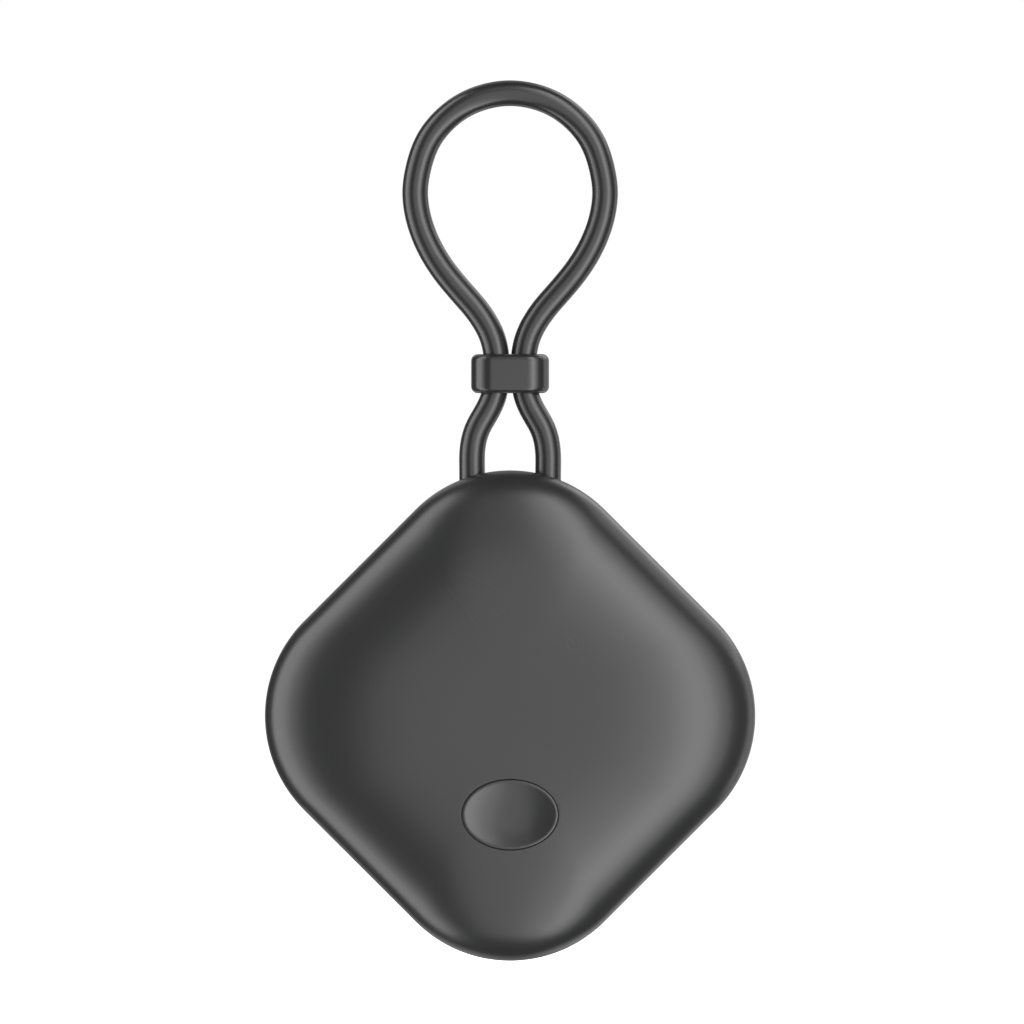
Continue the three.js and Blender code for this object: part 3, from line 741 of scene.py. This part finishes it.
def board_laminate():
    """Green solder mask over woven glass, with paler copper areas showing through."""
    material = principled("board_laminate", (0.012, 0.11, 0.05), 0.32)
    nodes, links = material.node_tree.nodes, material.node_tree.links
    place = nodes.new("ShaderNodeTexCoord")
    weave = nodes.new("ShaderNodeTexBrick")
    weave.inputs["Scale"].default_value = 420
    weave.inputs["Color1"].default_value = (0.010, 0.095, 0.043, 1)
    weave.inputs["Color2"].default_value = (0.013, 0.115, 0.052, 1)
    weave.inputs["Mortar"].default_value = (0.018, 0.15, 0.07, 1)
    weave.inputs["Mortar Size"].default_value = 0.012
    turned = nodes.new("ShaderNodeMapping")
    turned.inputs["Rotation"].default_value = (math.pi / 2, 0, 0)
    cells = nodes.new("ShaderNodeTexVoronoi")
    cells.distance = "CHEBYCHEV"
    cells.inputs["Scale"].default_value = 320
    copper = nodes.new("ShaderNodeMapRange")
    copper.inputs["From Min"].default_value = 0.30
    copper.inputs["From Max"].default_value = 0.34
    mix = nodes.new("ShaderNodeMix")
    mix.data_type = "RGBA"
    mix.inputs["B"].default_value = (0.03, 0.2, 0.08, 1)
    bump = nodes.new("ShaderNodeBump")
    bump.inputs["Distance"].default_value = 8e-6
    links.new(place.outputs["Object"], turned.inputs["Vector"])
    links.new(turned.outputs["Vector"], weave.inputs["Vector"])
    links.new(place.outputs["Object"], cells.inputs["Vector"])
    links.new(cells.outputs["Distance"], copper.inputs["Value"])
    links.new(copper.outputs["Result"], mix.inputs["Factor"])
    links.new(weave.outputs["Color"], mix.inputs["A"])
    links.new(mix.outputs["Result"], nodes["Principled BSDF"].inputs["Base Color"])
    links.new(copper.outputs["Result"], bump.inputs["Height"])
    links.new(bump.outputs["Normal"], nodes["Principled BSDF"].inputs["Normal"])
    return material


def dress(piece, material):
    piece.data.materials.clear()
    piece.data.materials.append(material)


def dress_inside():
    """Materials for the pieces inside the housing, by the record's material slots."""
    looks = {
        "boot_silicone": silicone("boot_rubber", (0.55, 0.56, 0.56), 0.4),
        "seal_silicone": silicone("seal_rubber", (0.02, 0.02, 0.021), 0.0),
        "switch_black": plastic("switch_plastic", (0.012, 0.012, 0.013), 0.45),
        "switch_white": plastic("plunger_plastic", (0.72, 0.72, 0.68), 0.4),
        "spring_steel": metal("spring_metal", (0.6, 0.6, 0.61), 0.22, 4000, 0.3e-6),
        "board_green": board_laminate(),
        "chip_black": plastic("chip_epoxy", (0.010, 0.010, 0.011), 0.5),
        "crystal_lid": metal("crystal_metal", (0.56, 0.57, 0.58), 0.28, 5000, 0.3e-6),
        "component_ceramic": ceramic("component_body", (0.55, 0.47, 0.34), 0.4),
        "buzzer_brass": metal("buzzer_metal", (0.68, 0.48, 0.17), 0.25, 3000, 0.4e-6),
        "buzzer_ceramic": ceramic("buzzer_body", (0.72, 0.69, 0.6), 0.3),
        "gold_contact": metal("contact_metal", (0.78, 0.56, 0.2), 0.2, 4000, 0.2e-6),
        "cell_steel": metal("cell_metal", (0.62, 0.63, 0.64), 0.26, 2500, 0.5e-6),
        "cradle_plastic": plastic("cradle_nylon", (0.6, 0.6, 0.57), 0.45),
        "screw_steel": metal("screw_metal", (0.45, 0.45, 0.46), 0.3, 4000, 0.4e-6),
        "ferrule_brass": metal("ferrule_metal", (0.62, 0.44, 0.17), 0.3, 3500, 0.5e-6),
    }
    for subpart in frame["record"]["subparts"]:
        if subpart["material_slot"] in looks:
            dress(frame["nodes"][subpart["node"]], looks[subpart["material_slot"]])


# ---- Stage and light ----

FLOOR_GAP = 15 * MM
FLOOR_HALF = 6.0
# The floor's glow is painted light: full white far off, and dimmed round the tag as painted shade.
FLOOR_NEAR, FLOOR_FAR = 1.5 * TIP, 4.5 * TIP        # distances between which the floor brightens
FLOOR_GLOW_NEAR, FLOOR_GLOW_FAR = 0.45, 1.0
WORLD_FOR_LIGHT, WORLD_FOR_CAMERA = 0.08, 1.0
LIGHT_DISTANCE = 1.2

# Soft panels round the tag. Angles are in degrees: the bearing runs from the camera to the right.
TALL = 128
PANELS = {      # bearing, elevation, width, height, brightness
    "front": (-3, -20, 29, 88, 1.45),
    "high_front": (0, 45, 32, 40, 0.72),
    "near_right": (19, 0, 15, TALL, 2.5),
    "right": (36, 0, 20, TALL, 5.1),
    "far_right": (54, 0, 15, TALL, 2.0),
    "left": (-81, 0, 36, TALL, 3.7),
    "near_left": (-56, 0, 12, TALL, 1.7),
    "right_rim": (113, -5, 26, 60, 1.25),
    "high_right_rim": (120, 38, 50, 34, 1.5),
    "high_back": (180, 45, 60, 40, 0.45),
    "low_back": (180, -45, 60, 40, 0.5),
    "back_right": (147, 0, 34, TALL, 0.7),
    "back_left": (-158, 0, 24, TALL, 0.3),
}


def span(angle):
    return 2 * LIGHT_DISTANCE * math.tan(math.radians(angle / 2))


def add_panel(name, bearing, elevation, width, height, brightness):
    turn, lift = math.radians(bearing), math.radians(elevation)
    away = Vector((math.sin(turn) * math.cos(lift), -math.cos(turn) * math.cos(lift), math.sin(lift)))
    data = bpy.data.lights.new(name, "AREA")
    data.shape = "RECTANGLE"
    data.size = span(width)
    data.size_y = span(height)
    data.energy = brightness * math.pi * data.size * data.size_y
    light = bpy.data.objects.new(name, data)
    light.location = CENTRE + away * LIGHT_DISTANCE
    light.rotation_mode = "QUATERNION"
    light.rotation_quaternion = away.to_track_quat("Z", "Y")
    light.visible_camera = False
    bpy.context.scene.collection.objects.link(light)


def add_world():
    """White behind everything, and a faint even light on the tag."""
    world = bpy.data.worlds.new("studio")
    bpy.context.scene.world = world
    world.use_nodes = True
    nodes, links = world.node_tree.nodes, world.node_tree.links
    background = nodes["Background"]
    background.inputs["Color"].default_value = (1, 1, 1, 1)
    path = nodes.new("ShaderNodeLightPath")
    choose = nodes.new("ShaderNodeMapRange")
    choose.inputs["To Min"].default_value = WORLD_FOR_LIGHT
    choose.inputs["To Max"].default_value = WORLD_FOR_CAMERA
    links.new(path.outputs["Is Camera Ray"], choose.inputs["Value"])
    links.new(choose.outputs["Result"], background.inputs["Strength"])


def floor_material():
    """Pale, with a painted glow that makes it white far off and is dimmed near the tag, a painted shade round
    it, just enough for its shadow to show.
    """
    material = bpy.data.materials.new("pale_floor_painted_glow")
    material.use_nodes = True
    nodes, links = material.node_tree.nodes, material.node_tree.links
    nodes.clear()
    place = nodes.new("ShaderNodeTexCoord")
    distance = nodes.new("ShaderNodeVectorMath")
    distance.operation = "LENGTH"
    # Painted glow on the floor: dim near the tag, a painted shade there, and full white far off.
    glow = nodes.new("ShaderNodeMapRange")
    glow.inputs["From Min"].default_value = FLOOR_NEAR
    glow.inputs["From Max"].default_value = FLOOR_FAR
    glow.inputs["To Min"].default_value = FLOOR_GLOW_NEAR
    glow.inputs["To Max"].default_value = FLOOR_GLOW_FAR
    emission = nodes.new("ShaderNodeEmission")
    diffuse = nodes.new("ShaderNodeBsdfDiffuse")
    diffuse.inputs["Color"].default_value = (0.8, 0.8, 0.8, 1)
    both = nodes.new("ShaderNodeAddShader")
    output = nodes.new("ShaderNodeOutputMaterial")
    links.new(place.outputs["Object"], distance.inputs[0])
    links.new(distance.outputs["Value"], glow.inputs["Value"])
    links.new(glow.outputs["Result"], emission.inputs["Strength"])
    links.new(emission.outputs["Emission"], both.inputs[0])
    links.new(diffuse.outputs["BSDF"], both.inputs[1])
    links.new(both.outputs["Shader"], output.inputs["Surface"])
    return material


def add_floor():
    mesh = bpy.data.meshes.new("floor")
    corners = [(-1, -1, 0), (1, -1, 0), (1, 1, 0), (-1, 1, 0)]
    mesh.from_pydata([[FLOOR_HALF * side for side in corner] for corner in corners], [], [(0, 1, 2, 3)])
    floor = bpy.data.objects.new("floor", mesh)
    floor.location.z = shell_low.z - FLOOR_GAP
    bpy.context.scene.collection.objects.link(floor)
    floor.visible_diffuse = False
    floor.visible_glossy = False
    floor.visible_shadow = False
    dress(floor, floor_material())


# ---- Build ----

add_camera()

cord, cord_line = add_cord()
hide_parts("cord_loop")
collar_piece = collar()

front = front_shell()
rear = rear_shell()
key_piece = key()
door_piece = door()
for piece, node, body, slot in (
    (front, "front_shell", "housing", "housing"),
    (rear, "rear_shell", "housing", "housing"),
    (key_piece, "key_cap", "key", "key"),
    (door_piece, "battery_door", "door", "door"),
    (collar_piece, "cord_collar", "collar", "collar"),
):
    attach(piece, body)
    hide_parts(node)
follow_collar(cord)

housing_plastic = moulded_plastic("housing_plastic", 0.015, 0.28, 0.25e-6)
dress(front, housing_plastic)
dress(rear, housing_plastic)
dress(key_piece, moulded_plastic("key_plastic", 0.015, 0.27, 0.1e-6))
dress(collar_piece, moulded_plastic("collar_rubber", 0.014, 0.25, 0.15e-6))
dress(cord, moulded_plastic("cord_rubber", 0.014, 0.25, 0.15e-6))
dress(door_piece, moulded_plastic("door_plastic", 0.014, 0.3, 0.25e-6))
dress_inside()
give_way("key_boot")
give_way("switch_dome")

for panel_name, settings in PANELS.items():
    add_panel(panel_name, *settings)
add_world()
add_floor()
bpy.context.scene.view_settings.view_transform = "Standard"
